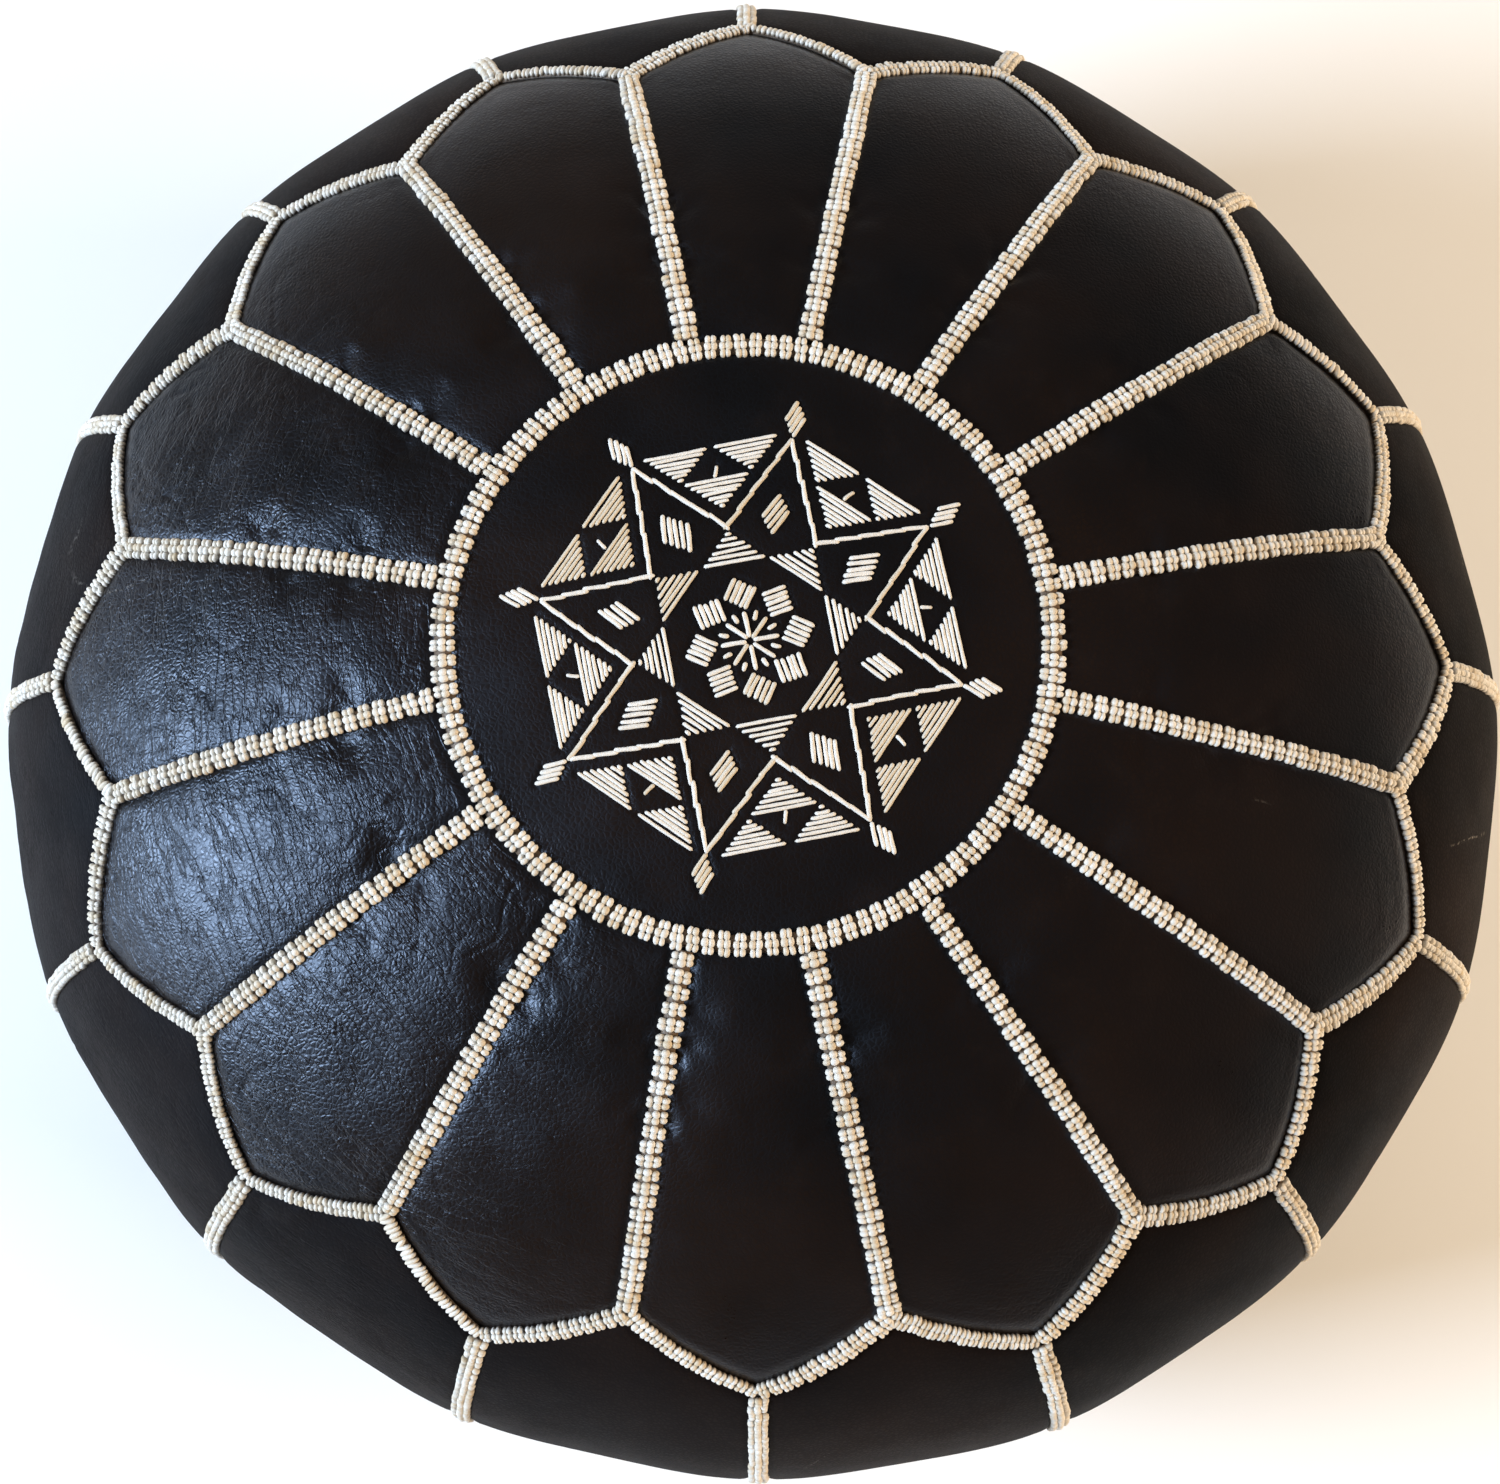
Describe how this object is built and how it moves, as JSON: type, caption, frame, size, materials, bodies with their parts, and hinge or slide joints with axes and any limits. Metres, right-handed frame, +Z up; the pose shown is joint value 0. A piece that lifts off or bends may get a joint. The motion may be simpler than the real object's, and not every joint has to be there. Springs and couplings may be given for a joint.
{
  "type": "leather pouf",
  "caption": "Round stuffed leather pouf sewn from a medallion, petals and side panels, with braided cord seams, an embroidered star and a zipped base.",
  "frame": {"origin": "on the floor, under the centre of the pouf", "axes": "+Z up through the medallion's centre; the zip in the base runs along X"},
  "size_m": [0.5458, 0.5458, 0.3309],
  "materials": {
    "leather": "waxed black-brown goatskin, soft sheen",
    "thread": "cream mercerised cord",
    "dark_thread": "waxed black thread",
    "stuffing": "packed cotton",
    "zip_tape": "woven black tape",
    "zip_metal": "antique brass"
  },
  "bodies": {
    "root": {"top_medallion": "leather", "top_petal_01": "leather", "side_panel_01": "leather", "top_petal_02": "leather", "side_panel_02": "leather", "top_petal_03": "leather", "side_panel_03": "leather", "top_petal_04": "leather", "side_panel_04": "leather", "top_petal_05": "leather", "side_panel_05": "leather", "top_petal_06": "leather", "side_panel_06": "leather", "top_petal_07": "leather", "side_panel_07": "leather", "top_petal_08": "leather", "side_panel_08": "leather", "top_petal_09": "leather", "side_panel_09": "leather", "top_petal_10": "leather", "side_panel_10": "leather", "top_petal_11": "leather", "side_panel_11": "leather", "top_petal_12": "leather", "side_panel_12": "leather", "top_petal_13": "leather", "side_panel_13": "leather", "top_petal_14": "leather", "side_panel_14": "leather", "top_petal_15": "leather", "side_panel_15": "leather", "top_petal_16": "leather", "side_panel_16": "leather", "base_half_back": "leather", "base_half_front": "leather", "filling": "stuffing", "medallion_ring_braid": "thread", "spoke_braids": "thread", "zigzag_braids": "thread", "side_seam_braids": "thread", "star_outline_thread": "thread", "tip_diamond_thread": "thread", "point_diamond_thread": "thread", "outer_triangle_thread": "thread", "inner_triangle_thread": "thread", "rosette_petal_thread": "thread", "rosette_star_thread": "thread", "zip_stitching": "dark_thread", "zip_tape_front": "zip_tape", "zip_teeth_front": "zip_metal", "zip_tape_back": "zip_tape", "zip_teeth_back": "zip_metal", "zip_top_stops": "zip_metal", "zip_bottom_stop": "zip_metal"},
    "zip_slider": {"zip_slider": "zip_metal"},
    "zip_pull": {"zip_pull": "zip_metal"}
  },
  "joints": [
    {"name": "zip_slide", "type": "slide", "parent": "root", "child": "zip_slider", "axis": [-1, 0, 0], "range_m": [0, 0.182]},
    {"name": "pull_swing", "type": "hinge", "parent": "zip_slider", "child": "zip_pull", "pos_m": [0.091, 0, 0.013], "axis": [0, 1, 0], "range_deg": [-88, 88]}
  ]
}
